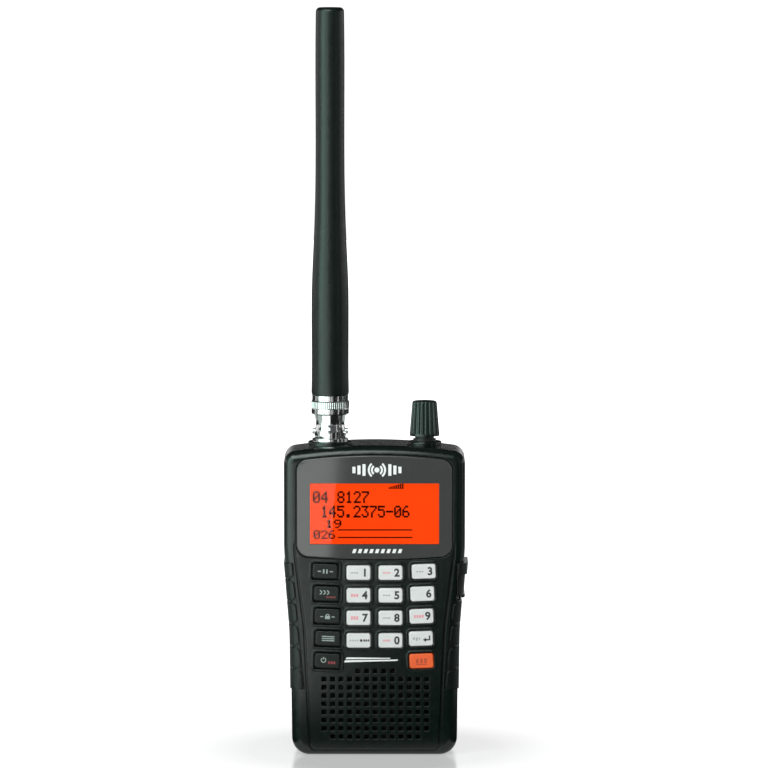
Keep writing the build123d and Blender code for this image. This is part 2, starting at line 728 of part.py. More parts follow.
with BuildPart() as antenna_sheath:
    with BuildSketch(Plane.XZ):
        with BuildLine():
            Polyline((ANTENNA_X, CORE_TOP), (ANTENNA_X, SHEATH_TOP - 0.3), (ANTENNA_X + 5.17, SHEATH_TOP))
            Spline(
                (ANTENNA_X + 5.17, SHEATH_TOP),
                (ANTENNA_X + 5.35, 242.0),
                (ANTENNA_X + 5.52, 205.0),
                (ANTENNA_X + 5.9, 193.0),
                (ANTENNA_X + 6.4, 182.0),
                (ANTENNA_X + 6.75, 173.0),
                (ANTENNA_X + 6.85, 158.0),
                (ANTENNA_X + 6.95, SHEATH_FOOT + 1.1),
            )
            Polyline(
                (ANTENNA_X + 6.95, SHEATH_FOOT + 1.1),
                (ANTENNA_X + 6.7, SHEATH_FOOT),
                (ANTENNA_X + FERRULE_RADIUS, SHEATH_FOOT),
                (ANTENNA_X + FERRULE_RADIUS, FERRULE_TOP),
                (ANTENNA_X + CORE_RADIUS, FERRULE_TOP),
                (ANTENNA_X + CORE_RADIUS, CORE_TOP),
                (ANTENNA_X, CORE_TOP),
            )
        make_face()
    revolve(axis=upright(ANTENNA_X))
    top_rings = antenna_sheath.edges().filter_by(GeomType.CIRCLE).group_by(Axis.Z)[-1]
    fillet(top_rings.sort_by(SortBy.RADIUS)[-1], 1.6)
finish_piece(antenna_sheath.part, "antenna_sheath")

with BuildPart() as coupling_nut:
    revolve(
        profile(
            ANTENNA_X, (NUT_INNER, NUT_FOOT), (5.35, NUT_FOOT), (5.7, 116.8), (5.85, 117.5), (5.85, 119.2),
            (5.65, 119.9), (5.4, 120.7), (5.3, 121.6), (5.4, 122.7), (5.6, 124.0), (5.75, 125.0),
            (6.4, 125.1), (6.75, 125.25), (6.95, 125.6), (6.95, 127.2), (6.8, 127.35), (7.1, 127.6),
            (7.1, 129.9), (6.8, NUT_TOP), (NUT_INNER, NUT_TOP),
        ),
        axis=upright(ANTENNA_X),
    )
    for half_turn in (0, 180):
        for step in range(SLOT_STEPS + 1):
            part_way = step / SLOT_STEPS
            spin = Plane(origin=(ANTENNA_X, 0, STUD_Z - SLOT_DROP * part_way))
            spin = spin.rotated((0, 0, half_turn - SLOT_ANGLE * part_way))
            with Locations(spin.location):
                Cylinder(
                    SLOT_RADIUS, SLOT_REACH, rotation=(0, 90, 0), mode=Mode.SUBTRACT,
                    align=ON_FOOT,
                )
        entry = Plane(origin=(ANTENNA_X, 0, NUT_FOOT)).rotated((0, 0, half_turn - SLOT_ANGLE))
        with Locations(entry.location):
            Box(
                SLOT_REACH, 2 * SLOT_RADIUS, STUD_Z - SLOT_DROP - NUT_FOOT, mode=Mode.SUBTRACT,
                align=FROM_AXIS,
            )
    with BuildSketch(Plane.XY.offset(127.6)):
        with Locations((ANTENNA_X, 0)):
            with PolarLocations(7.2, KNURL_COUNT):
                Circle(KNURL_RADIUS)
    extrude(amount=2.3, mode=Mode.SUBTRACT)
finish_piece(coupling_nut.part, "coupling_nut")

# ---- control: encoder, shaft, knob ----
with BuildPart() as encoder_body:
    add(block((KNOB_X - 5.5, KNOB_X + 5.5), (-6, 6), (104.0, ENCODER_TOP)))
    with Locations((KNOB_X, 0, ENCODER_TOP - 0.5)):
        Cylinder(BUSHING_RADIUS, 118.2 - ENCODER_TOP + 0.5, align=ON_FOOT)
    with Locations((KNOB_X, 0, 106.0)):
        Cylinder(SHAFT_RADIUS + SHAFT_FIT, 20, align=ON_FOOT, mode=Mode.SUBTRACT)
    with Locations((KNOB_X, 0, 100.0)):
        Cylinder(2.3, 10, align=ON_FOOT, mode=Mode.SUBTRACT)
finish_piece(encoder_body.part, "encoder_body")

with BuildPart() as encoder_nut:
    revolve(
        profile(
            KNOB_X, (BUSHING_RADIUS, BOSS_TOP), (4.2, BOSS_TOP), (4.2, BOSS_TOP + 0.8),
            (BUSHING_RADIUS, BOSS_TOP + 0.8),
        ),
        axis=upright(KNOB_X),
    )
finish_piece(encoder_nut.part, "encoder_nut")

with BuildPart() as push_actuator:
    revolve(
        profile(KNOB_X, (0, 103.0), (2.2, 103.0), (2.2, 106.65), (2.7, 106.65), (2.7, 107.0), (0, 107.0)),
        axis=upright(KNOB_X),
    )
finish_piece(push_actuator.part, "push_actuator")

with BuildPart() as encoder_shaft:
    with Locations((KNOB_X, 0, 107.05)):
        Cylinder(SHAFT_RADIUS, SHAFT_TOP - 107.05, align=ON_FOOT)
    add(block((KNOB_X - 5, KNOB_X + 5), (-5, SHAFT_FLAT_Y), (SOCKET_FOOT, 130)), mode=Mode.SUBTRACT)
finish_piece(encoder_shaft.part, "encoder_shaft")

KNOB_SKIRT_TOP = KNOB_FOOT + 0.9
with BuildPart() as flute:
    lean = (KNOB_TOP_RADIUS - KNOB_FOOT_RADIUS, 0, KNOB_TOP - KNOB_SKIRT_TOP)
    with BuildSketch(Plane(origin=(KNOB_FOOT_RADIUS + 0.2, 0, KNOB_SKIRT_TOP), z_dir=lean)):
        Circle(FLUTE_RADIUS)
    extrude(amount=KNOB_TOP - KNOB_FOOT + 1)

with BuildPart() as control_knob:
    revolve(
        profile(
            KNOB_X, (0, SHAFT_TOP), (SHAFT_RADIUS, SHAFT_TOP), (SHAFT_RADIUS, SOCKET_FOOT),
            (4.1, SOCKET_FOOT), (4.1, KNOB_FOOT), (KNOB_FOOT_RADIUS, KNOB_FOOT),
            (KNOB_FOOT_RADIUS, KNOB_SKIRT_TOP),
            (KNOB_TOP_RADIUS, KNOB_TOP - 0.7), (KNOB_TOP_RADIUS - 0.25, KNOB_TOP - 0.2),
            (KNOB_TOP_RADIUS - 0.8, KNOB_TOP), (0, KNOB_TOP),
        ),
        axis=upright(KNOB_X),
    )
    add(block((KNOB_X - 2.5, KNOB_X + 2.5), (-3.0, SHAFT_FLAT_Y), (SOCKET_FOOT, SHAFT_TOP)))
    with Locations((KNOB_X, 0, 0)):
        with PolarLocations(0, KNOB_FLUTES):
            add(flute.part, mode=Mode.SUBTRACT)
finish_piece(control_knob.part, "control_knob")

# ---- grips and jack cover ----
finish_piece(make_grip(-1, GRIP_TOP_Z), "left_grip")
finish_piece(make_grip(1, RIGHT_TOP), "right_grip")

COVER_PLATE = side_region(1, COVER_HINGE[1] + 0.4, COVER_TOP_Z, COVER_BACK_Y, COVER_INNER_X, COVER_INNER_X)
TAB_FOOT_Z = COVER_TOP_Z - 4.2
COVER_TAB = side_region(1, TAB_FOOT_Z, COVER_TOP_Z, COVER_BACK_Y, COVER_INNER_X + 0.6, COVER_INNER_X + 0.6)
with BuildPart() as tab:
    add(case_core(COVER_TAB_PROUD))
    add(COVER_TAB, mode=Mode.INTERSECT)
with BuildPart() as jack_cover:
    add(case_core(COVER_FRONT_PROUD))
    add(COVER_PLATE, mode=Mode.INTERSECT)
    add(tab.part)
    with BuildSketch(facing(COVER_BACK_Y)):
        with Locations(COVER_HINGE):
            Circle(COVER_BEAD)
    extrude(amount=COVER_BACK_Y + 11)
    add(case_core(-RELIEF + 0.15), mode=Mode.SUBTRACT)
finish_piece(jack_cover.part, "jack_cover")

# ---- side sockets ----
with BuildPart() as headphone_jack:
    add(block((18.0, 30.0), (-7.2, MAIN_BOARD_Y[0]), (SOCKET_Z - 3, SOCKET_Z + 3)))
    with BuildSketch(Plane.YZ.offset(20.0)):
        with Locations((HEADPHONE_Y, SOCKET_Z)):
            Circle(2.3)
    extrude(amount=11.2)
    with BuildSketch(Plane.YZ.offset(20.0)):
        with Locations((HEADPHONE_Y, SOCKET_Z)):
            Circle(HEADPHONE_BORE)
    extrude(amount=12, mode=Mode.SUBTRACT)
finish_piece(headphone_jack.part, "headphone_jack")

with BuildPart() as usb_socket:
    add(block((23.0, 31.2), (MAIN_BOARD_Y[1], 2.5), (SOCKET_Z - 3.85, SOCKET_Z + 3.85)))
    mouth = block((24.0, 33.0), (MAIN_BOARD_Y[1] + 0.4, 2.1), (SOCKET_Z - 3.45, SOCKET_Z + 3.45))
    add(mouth, mode=Mode.SUBTRACT)
    add(block((23.5, 30.2), (USB_Y - 0.9, USB_Y - 0.1), (SOCKET_Z - 2.4, SOCKET_Z + 2.4)))
finish_piece(usb_socket.part, "usb_socket")

# ---- batteries and contacts ----
with BuildPart() as battery_cells:
    for side in (-1, 1):
        middle = Location((side * CELL_X, CELL_Y, CELL_FOOT_Z))
        with Locations(middle):
            Cylinder(CELL_RADIUS, CELL_LENGTH - 1.4, align=ON_FOOT)
        with Locations(middle):
            Cylinder(2.75, CELL_LENGTH, align=ON_FOOT)
    chamfer(battery_cells.edges().filter_by(GeomType.CIRCLE).filter_by(lambda e: e.radius > 7), 0.4)
finish_piece(battery_cells.part, "battery_cells")

with BuildPart() as battery_springs:
    for side in (-1, 1):
        with BuildSketch(Plane.YZ.offset(side * CELL_X - 3)):
            with BuildLine():
                Polyline(
                    (CELL_Y - 5, BAY_FOOT_Z), (CELL_Y + 5, BAY_FOOT_Z), (CELL_Y + 5, BAY_FOOT_Z + 0.4),
                    (CELL_Y - 3.6, BAY_FOOT_Z + 0.4), (CELL_Y + 3.4, CELL_FOOT_Z - 0.4),
                    (CELL_Y + 3.4, CELL_FOOT_Z), (CELL_Y - 0.6, CELL_FOOT_Z),
                    (CELL_Y - 5, BAY_FOOT_Z + 0.6), close=True,
                )
            make_face()
        extrude(amount=6)
finish_piece(battery_springs.part, "battery_springs")

with BuildPart() as battery_plates:
    for side in (-1, 1):
        low = CELL_FOOT_Z + CELL_LENGTH
        add(block((side * CELL_X - 4, side * CELL_X + 4), (CELL_Y - 5, CELL_Y + 5), (low, BAY_TOP_Z)))
finish_piece(battery_plates.part, "battery_plates")

# ---- fasteners ----
with BuildPart() as case_screws:
    add(posts(CASE_SCREWS, 1.2, SPLIT_Y - 8, 14.0))
    add(posts(CASE_SCREWS, 2.2, 14.0, 15.6))
    add(posts(CASE_SCREWS, 0.8, 14.8, 16), mode=Mode.SUBTRACT)
finish_piece(case_screws.part, "case_screws")

with BuildPart() as board_screws:
    add(posts(BOARD_SCREWS, 0.9, MAIN_BOARD_Y[0] - 5, MAIN_BOARD_Y[1]))
    add(posts(BOARD_SCREWS, 1.8, MAIN_BOARD_Y[1], MAIN_BOARD_Y[1] + 1.2))
finish_piece(board_screws.part, "board_screws")

with BuildPart() as belt_clip_inserts:
    add(posts(clip_places, 1.9, 12.5, BACK_Y))
    add(posts(clip_places, INSERT_BORE, 10, 20), mode=Mode.SUBTRACT)
finish_piece(belt_clip_inserts.part, "belt_clip_inserts")
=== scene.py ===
import json
import math

import bmesh
import bpy
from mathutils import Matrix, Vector


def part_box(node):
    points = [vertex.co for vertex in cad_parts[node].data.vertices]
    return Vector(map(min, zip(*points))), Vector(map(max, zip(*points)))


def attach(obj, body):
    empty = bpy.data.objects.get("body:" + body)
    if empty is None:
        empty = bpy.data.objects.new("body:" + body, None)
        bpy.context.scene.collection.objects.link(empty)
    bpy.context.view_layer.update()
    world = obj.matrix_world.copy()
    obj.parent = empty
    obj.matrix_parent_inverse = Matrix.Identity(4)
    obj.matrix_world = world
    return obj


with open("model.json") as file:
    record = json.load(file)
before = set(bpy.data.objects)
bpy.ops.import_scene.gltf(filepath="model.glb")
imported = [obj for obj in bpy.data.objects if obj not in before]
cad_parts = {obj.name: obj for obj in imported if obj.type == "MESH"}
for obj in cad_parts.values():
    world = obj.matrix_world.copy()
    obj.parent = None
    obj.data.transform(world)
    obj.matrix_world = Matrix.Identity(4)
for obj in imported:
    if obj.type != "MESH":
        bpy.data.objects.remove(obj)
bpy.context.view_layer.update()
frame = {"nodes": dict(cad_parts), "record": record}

MM = 0.001
SCENE = bpy.context.scene
NODES = frame["nodes"]
SLOT_OF = {part["node"]: part["material_slot"] for part in frame["record"]["subparts"]}


# ---------------------------------------------------------------- materials

def grow_material(name):
    """New node material: returns it with its nodes, links and Principled shader."""
    material = bpy.data.materials.new(name)
    material.use_nodes = True
    tree = material.node_tree
    return material, tree.nodes, tree.links, tree.nodes["Principled BSDF"]


def noise(nodes, links, scale, detail=3.0, roughness=0.55, packing=(1, 1, 1)):
    """Noise in the object's own coordinates; packing crowds the pattern along each axis."""
    place = nodes.new("ShaderNodeTexCoord")
    mapping = nodes.new("ShaderNodeMapping")
    mapping.inputs["Scale"].default_value = packing
    texture = nodes.new("ShaderNodeTexNoise")
    texture.inputs["Scale"].default_value = scale
    texture.inputs["Detail"].default_value = detail
    texture.inputs["Roughness"].default_value = roughness
    links.new(place.outputs["Object"], mapping.inputs["Vector"])
    links.new(mapping.outputs["Vector"], texture.inputs["Vector"])
    return texture.outputs["Fac"]


def remap(nodes, links, source, low, high, start=0.3, end=0.7):
    """Map a noise onto a range of values."""
    node = nodes.new("ShaderNodeMapRange")
    node.inputs["From Min"].default_value = start
    node.inputs["From Max"].default_value = end
    node.inputs["To Min"].default_value = low
    node.inputs["To Max"].default_value = high
    links.new(source, node.inputs["Value"])
    return node.outputs["Result"]


def two_tones(nodes, links, factor, first, second):
    """Colour that runs between two tones."""
    ramp = nodes.new("ShaderNodeValToRGB")
    ramp.color_ramp.elements[0].position = 0.3
    ramp.color_ramp.elements[0].color = (*first, 1)
    ramp.color_ramp.elements[1].position = 0.7
    ramp.color_ramp.elements[1].color = (*second, 1)
    links.new(factor, ramp.inputs["Fac"])
    return ramp.outputs["Color"]


def bump(nodes, links, height, distance, strength=1.0, base=None):
    """Bump of a real height in metres, on top of an earlier one."""
    node = nodes.new("ShaderNodeBump")
    node.inputs["Strength"].default_value = strength
    node.inputs["Distance"].default_value = distance
    links.new(height, node.inputs["Height"])
    if base is not None:
        links.new(base, node.inputs["Normal"])
    return node.outputs["Normal"]


def soft_edges(nodes, radius):
    """Rounded-edge normal for moulded parts."""
    node = nodes.new("ShaderNodeBevel")
    node.samples = 4
    node.inputs["Radius"].default_value = radius
    return node.outputs["Normal"]


def surface(
    name, dark, light, rough, grain=0.25, depth=0.004, edge=0.12, metal=0.0, coat=0.0, specular=0.5,
    patch=9.0, packing=(1, 1, 1),
):
    """Moulded, rubber or metal surface: fine grain, faint patches of tone and gloss, soft edges.

    grain, depth, edge and patch are in millimetres; packing crowds the grain along each axis.
    """
    material, nodes, links, shader = grow_material(name)
    shader.inputs["Metallic"].default_value = metal
    shader.inputs["Specular IOR Level"].default_value = specular
    shader.inputs["Coat Weight"].default_value = coat
    shader.inputs["Coat Roughness"].default_value = 0.04
    patches = noise(nodes, links, 1 / (patch * MM), 4.0)
    links.new(two_tones(nodes, links, patches, dark, light), shader.inputs["Base Color"])
    smears = noise(nodes, links, 1 / (0.35 * patch * MM), 5.0, 0.65)
    links.new(remap(nodes, links, smears, rough * 0.82, rough * 1.18), shader.inputs["Roughness"])
    normal = soft_edges(nodes, edge * MM) if edge else None
    fine = noise(nodes, links, 1 / (grain * MM), 2.0, 0.5, packing)
    normal = bump(nodes, links, fine, depth * MM, 1.0, normal)
    links.new(normal, shader.inputs["Normal"])
    return material


def clear_lens():
    """Clear polished pane; its refractive index is set below a real one's, which lowers the glare."""
    material, nodes, links, shader = grow_material("lens_clear")
    shader.inputs["Transmission Weight"].default_value = 1.0
    shader.inputs["IOR"].default_value = 1.23
    shader.inputs["Roughness"].default_value = 0.0
    tint = noise(nodes, links, 1 / (12 * MM), 3.0)
    links.new(two_tones(nodes, links, tint, (0.97, 0.97, 0.96), (1, 1, 1)), shader.inputs["Base Color"])
    return material


def lit_screen():
    """Liquid crystal screen lit from behind, a little uneven."""
    material, nodes, links, shader = grow_material("lcd_orange")
    shader.inputs["Roughness"].default_value = 0.6
    shader.inputs["Specular IOR Level"].default_value = 0.0
    shader.inputs["Base Color"].default_value = (0.12, 0.004, 0.001, 1)
    glow = noise(nodes, links, 1 / (28 * MM), 2.0)
    tint = two_tones(nodes, links, glow, (1.0, 0.056, 0.003), (1.0, 0.070, 0.005))
    links.new(tint, shader.inputs["Emission Color"])
    shader.inputs["Emission Strength"].default_value = 0.97
    return material


def printed_cell():
    """Battery sleeve: dark wrap with a brass-coloured band at one end."""
    material, nodes, links, shader = grow_material("cell_wrap")
    place = nodes.new("ShaderNodeTexCoord")
    split = nodes.new("ShaderNodeSeparateXYZ")
    links.new(place.outputs["Object"], split.inputs["Vector"])
    band = nodes.new("ShaderNodeValToRGB")
    band.color_ramp.interpolation = "CONSTANT"
    band.color_ramp.elements[0].color = (0.03, 0.032, 0.036, 1)
    band.color_ramp.elements[1].color = (0.62, 0.36, 0.12, 1)
    low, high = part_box("battery_cells")
    height = remap(nodes, links, split.outputs["Z"], 0, 1, low.z, high.z)
    band.color_ramp.elements[1].position = 0.78
    links.new(height, band.inputs["Fac"])
    links.new(band.outputs["Color"], shader.inputs["Base Color"])
    scuffs = noise(nodes, links, 1 / (3 * MM), 4.0)
    links.new(remap(nodes, links, scuffs, 0.22, 0.34), shader.inputs["Roughness"])
    return material


def ink(name, dark, light, rough=0.5, patch=1.0, specular=0.5):
    """Thin printing, without soft edges."""
    return surface(name, dark, light, rough, 0.1, 0.001, 0.0, specular=specular, patch=patch)


# after the two tones: roughness, then grain, depth and edge in millimetres
MATERIALS = {
    "case_black": surface(
        "case_black", (0.0010, 0.0048, 0.0034), (0.0020, 0.0064, 0.0048),
        0.22, 0.22, 0.0008, 0.42, specular=0.5,
    ),
    "inner_black": surface("inner_black", (0.012, 0.012, 0.012), (0.018, 0.018, 0.018), 0.5),
    "bezel_grey": surface(
        "bezel_grey", (0.050, 0.050, 0.050), (0.056, 0.056, 0.056), 0.05, 0.6, 0.0003, 0.1, coat=0.3,
    ),
    "lens_clear": clear_lens(),
    "lcd_orange": lit_screen(),
    "light_white": surface("light_white", (0.8, 0.8, 0.78), (0.86, 0.86, 0.84), 0.4),
    "key_dark": surface(
        "key_dark", (0.003, 0.006, 0.005), (0.005, 0.009, 0.007), 0.30, 0.15, 0.002, 0.15, specular=0.4,
    ),
    "key_pale": surface(
        "key_pale", (0.65, 0.65, 0.645), (0.71, 0.71, 0.705), 0.34, 0.15, 0.002, 0.15, specular=0.4,
    ),
    "key_orange": surface("key_orange", (0.80, 0.095, 0.014), (0.90, 0.13, 0.02), 0.36, 0.15, 0.002, 0.15),
    "grip_rubber": surface(
        "grip_rubber", (0.002, 0.005, 0.004), (0.004, 0.007, 0.006), 0.32, 0.3, 0.006, 0.35, specular=0.4,
    ),
    "antenna_rubber": surface(
        "antenna_rubber", (0.0010, 0.0052, 0.0040), (0.0022, 0.0068, 0.0054),
        0.32, 0.35, 0.003, 0.2, specular=0.42,
    ),
    "knob_black": surface(
        "knob_black", (0.002, 0.009, 0.006), (0.005, 0.014, 0.010), 0.22, 0.2, 0.002, 0.12, specular=0.6,
    ),
    "chrome": surface(
        "chrome", (0.70, 0.70, 0.70), (0.78, 0.78, 0.78), 0.13, 0.12, 0.0004, 0.05, metal=1.0, patch=3.0,
    ),
    "steel": surface(
        "steel", (0.52, 0.52, 0.51), (0.62, 0.62, 0.61), 0.3, 0.1, 0.001, 0.08, metal=1.0, packing=(1, 1, 12),
    ),
    "brass": surface("brass", (0.70, 0.50, 0.22), (0.80, 0.60, 0.30), 0.26, 0.1, 0.001, 0.06, metal=1.0),
    "board_green": surface(
        "board_green", (0.010, 0.110, 0.045), (0.016, 0.150, 0.065), 0.34, 0.5, 0.004, 0.0, patch=4.0,
    ),
    "mat_grey": surface("mat_grey", (0.20, 0.20, 0.20), (0.26, 0.26, 0.26), 0.6, 0.3, 0.004),
    "paper_cone": surface("paper_cone", (0.03, 0.03, 0.028), (0.05, 0.05, 0.047), 0.85, 0.4, 0.03, 0.0),
    "mesh_black": surface("mesh_black", (0.004, 0.005, 0.005), (0.008, 0.009, 0.009), 0.8, 0.2, 0.03, 0.0),
    "ptfe": surface("ptfe", (0.78, 0.78, 0.75), (0.84, 0.84, 0.81), 0.45, 0.3, 0.002, 0.05),
    "cell_wrap": printed_cell(),
}
PRINT = {
    "print_white": ink("print_white", (0.78, 0.79, 0.78), (0.85, 0.86, 0.85), 0.45, 1.5),
    "print_black": ink("print_black", (0.020, 0.020, 0.022), (0.034, 0.034, 0.036)),
    "print_grey": ink("print_grey", (0.34, 0.35, 0.35), (0.42, 0.43, 0.43)),
    "print_pink": ink("print_pink", (0.72, 0.28, 0.32), (0.80, 0.36, 0.40)),
    "print_pale": ink("print_pale", (0.26, 0.31, 0.29), (0.34, 0.39, 0.37)),
    "print_red": ink("print_red", (0.22, 0.025, 0.035), (0.30, 0.04, 0.05)),
    "print_rust": ink("print_rust", (0.42, 0.045, 0.010), (0.50, 0.06, 0.015)),
    "lcd_ink": ink("lcd_ink", (0.045, 0.003, 0.001), (0.070, 0.005, 0.002), 0.7, 2.0, 0.02),
}


# ------------------------------------------------- smooth shading of the CAD

def finish_group(angle):
    """Geometry nodes that weld the imported facets and smooth every edge flatter than angle."""
    group = bpy.data.node_groups.new("cad_finish", "GeometryNodeTree")
    group.interface.new_socket("Geometry", in_out="INPUT", socket_type="NodeSocketGeometry")
    group.interface.new_socket("Geometry", in_out="OUTPUT", socket_type="NodeSocketGeometry")
    nodes, links = group.nodes, group.links
    start = nodes.new("NodeGroupInput")
    end = nodes.new("NodeGroupOutput")
    forget = nodes.new("GeometryNodeRemoveAttribute")
    forget.inputs["Name"].default_value = "custom_normal"
    weld = nodes.new("GeometryNodeMergeByDistance")
    weld.inputs["Distance"].default_value = 0.002 * MM
    faces = nodes.new("GeometryNodeSetShadeSmooth")
    faces.domain = "FACE"
    faces.inputs["Shade Smooth"].default_value = True
    edge_angle = nodes.new("GeometryNodeInputMeshEdgeAngle")
    sharper = nodes.new("FunctionNodeCompare")
    sharper.data_type = "FLOAT"
    sharper.operation = "GREATER_THAN"
    sharper.inputs["B"].default_value = math.radians(angle)
    edges = nodes.new("GeometryNodeSetShadeSmooth")
    edges.domain = "EDGE"
    edges.inputs["Shade Smooth"].default_value = False
    links.new(start.outputs[0], forget.inputs["Geometry"])
    links.new(forget.outputs["Geometry"], weld.inputs["Geometry"])
    links.new(weld.outputs["Geometry"], faces.inputs["Geometry"])
    links.new(faces.outputs["Geometry"], edges.inputs["Geometry"])
    links.new(edge_angle.outputs["Unsigned Angle"], sharper.inputs["A"])
    links.new(sharper.outputs["Result"], edges.inputs["Selection"])
    links.new(edges.outputs["Geometry"], end.inputs[0])
    return group


SMOOTH_BELOW = 28.0     # edges flatter than this many degrees are shaded smooth
FLAT_WEIGHT = 80        # how far broad faces set the normals at their rims
FINISH = finish_group(SMOOTH_BELOW)
for node, thing in NODES.items():
    thing.data.materials.clear()
    thing.data.materials.append(MATERIALS[SLOT_OF[node]])
    smooth = thing.modifiers.new("finish", "NODES")
    smooth.node_group = FINISH
    # lets the broad flat faces set the normals, so that they mirror as flats up to their rounded edges
    flats = thing.modifiers.new("flats", "WEIGHTED_NORMAL")
    flats.weight = FLAT_WEIGHT
    flats.keep_sharp = True


# ------------------------------------------------------------ printed marks

INK = 0.02 * MM        # how far printing stands off its surface
SUNK = 0.06 * MM       # and how far it reaches in
KEY_TILT = 2.0         # lean of the outer key columns, in degrees
OUTER_COLUMN = 12 * MM   # keys further out than this lean
DIGIT_HEIGHT = 2.8     # in millimetres, as is the thickening of the digits' strokes
DIGIT_HEAVY = 0.14
CAP_SHARE = 0.70       # a digit's height as a share of the font's size


def placed(name, mesh, x, y, z, tilt, body, material):
    """Stand a flat mark up against a front-facing surface at (x, y, z), leaning by tilt degrees."""
    thing = bpy.data.objects.new(name, mesh)
    SCENE.collection.objects.link(thing)
    thing.rotation_euler = (math.radians(90), -math.radians(tilt), 0)
    thing.location = (x, y, z)
    mesh.materials.clear()
    mesh.materials.append(material)
    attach(thing, body)


def slab(shapes, name):
    """Closed thin solids, one for each outline; points are (x, y) in millimetres."""
    mesh = bpy.data.meshes.new(name)
    work = bmesh.new()
    for outline in shapes:
        top = [work.verts.new((x * MM, y * MM, INK)) for x, y in outline]
        bottom = [work.verts.new((x * MM, y * MM, -SUNK)) for x, y in outline]
        work.faces.new(top)
        work.faces.new(bottom[::-1])
        for i in range(len(outline)):
            j = (i + 1) % len(outline)
            work.faces.new((top[i], bottom[i], bottom[j], top[j]))
    bmesh.ops.recalc_face_normals(work, faces=work.faces)
    work.to_mesh(mesh)
    work.free()
    return mesh


def bar(x, y, width, height, slant=0.0):
    """Rectangle about a centre, sheared sideways by slant."""
    w, h = width / 2, height / 2
    return [(x - w - slant, y - h), (x + w - slant, y - h), (x + w + slant, y + h), (x - w + slant, y + h)]


def line(start, end, width):
    """Straight stroke between two points."""
    (ax, ay), (bx, by) = start, end
    length = math.hypot(bx - ax, by - ay)
    nx, ny = -(by - ay) / length * width / 2, (bx - ax) / length * width / 2
    return [(ax + nx, ay + ny), (ax - nx, ay - ny), (bx - nx, by - ny), (bx + nx, by + ny)]


def arc(x, y, radius, start, end, width, steps=12):
    """Curved stroke as a run of short quads, in degrees."""
    turns = [math.radians(start + (end - start) * i / steps) for i in range(steps + 1)]
    outer = [(x + (radius + width / 2) * math.cos(t), y + (radius + width / 2) * math.sin(t)) for t in turns]
    inner = [(x + (radius - width / 2) * math.cos(t), y + (radius - width / 2) * math.sin(t)) for t in turns]
    return [[outer[i], outer[i + 1], inner[i + 1], inner[i]] for i in range(steps)]


def disc(x, y, radius, steps=20):
    """Filled dot."""
    return [
        (x + radius * math.cos(math.tau * i / steps), y + radius * math.sin(math.tau * i / steps))
        for i in range(steps)
    ]


def digits_mesh(text, height, name, heavy):
    """Digits as a flat closed mesh, centred, height in millimetres."""
    curve = bpy.data.curves.new(name, "FONT")
    curve.body = text
    curve.size = height * MM / CAP_SHARE
    curve.offset = heavy * MM
    curve.extrude = (INK + SUNK) / 2
    curve.align_x = "CENTER"
    curve.align_y = "CENTER"
    curve.resolution_u = 4
    holder = bpy.data.objects.new(name + "_curve", curve)
    mesh = bpy.data.meshes.new_from_object(holder)
    bpy.data.objects.remove(holder)
    for vertex in mesh.vertices:
        vertex.co.z += (INK - SUNK) / 2
    mesh.name = name
    return mesh


# ---- keys: a generic number or icon on each, with small second marks beside it
key_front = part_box("key_5")[0].y


def key_centre(node):
    """Middle of a key's face and its lean in degrees."""
    low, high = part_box(node)
    middle = (low + high) / 2
    lean = 0.0
    if abs(middle.x) > OUTER_COLUMN:
        lean = KEY_TILT if middle.x > 0 else -KEY_TILT
    return middle.x, middle.z, lean


def key_mark(key, label, shapes, colour, dx=0.0, dz=0.0):
    """Marks on a key's face, offset in the key's own leaning frame (millimetres)."""
    x, z, lean = key_centre(f"key_{key}")
    turn = math.radians(lean)
    px = x + (dx * math.cos(turn) - dz * math.sin(turn)) * MM
    pz = z + (dx * math.sin(turn) + dz * math.cos(turn)) * MM
    mesh = shapes if isinstance(shapes, bpy.types.Mesh) else slab(shapes, f"{label}_{key}")
    placed(f"{label}_{key}", mesh, px, key_front, pz, lean, f"key_{key}", PRINT[colour])


def row_of_bars(count, start, step, width, height):
    """Equal bars in a row, from the first one's centre."""
    return [bar(start + step * i, 0, width, height) for i in range(count)]


for number in "1234567890":
    digit = digits_mesh(number, DIGIT_HEIGHT, f"digit_{number}", DIGIT_HEAVY)
    key_mark(number, "digit", digit, "print_black", 2.35, -0.1)
PINK_KEYS = {"2": 0.55, "4": 1.1, "7": 1.3, "9": 1.1, "0": 0.7}     # height of the pink dashes
DASH_COUNTS = {"1": 3, "2": 3, "3": 3, "4": 3, "5": 3, "7": 3, "8": 3, "9": 4, "0": 3}
for number, dash_count in DASH_COUNTS.items():
    second = row_of_bars(dash_count, -2.6, 0.95, 0.75, PINK_KEYS.get(number, 0.55))
    key_mark(number, "second", second, "print_pink" if number in PINK_KEYS else "print_grey", 0.2)

key_mark("dot", "digit", [disc(1.0, 0, 0.5)], "print_black")
key_mark("dot", "second", row_of_bars(4, -3.0, 0.9, 0.6, 0.6), "print_grey")
key_mark("dot", "third", row_of_bars(3, 2.1, 0.8, 0.6, 0.8), "print_black")

enter_stem = line((3.2, 1.1), (3.2, -0.5), 0.5)
enter_foot = line((3.4, -0.5), (1.6, -0.5), 0.5)
enter_head = [(1.9, 0.3), (0.7, -0.5), (1.9, -1.3)]
key_mark("enter", "icon", [enter_stem, enter_foot, enter_head], "print_black")
enter_marks = [bar(-2.6, 0.1, 0.8, 0.9), bar(-1.5, -0.1, 0.8, 1.3), bar(-0.5, 0, 0.5, 0.8)]
key_mark("enter", "second", enter_marks, "print_grey")

key_mark("func", "icon", row_of_bars(3, -1.5, 1.5, 0.9, 1.7) + [bar(0, -1.25, 4.0, 0.3)], "print_rust")

pause = [bar(side * 0.6, 0, 0.55, 1.6) for side in (-1, 1)]
pause += [bar(side * 2.2, 0, 1.2, 0.4) for side in (-1, 1)]
key_mark("hold", "icon", pause, "print_pale")

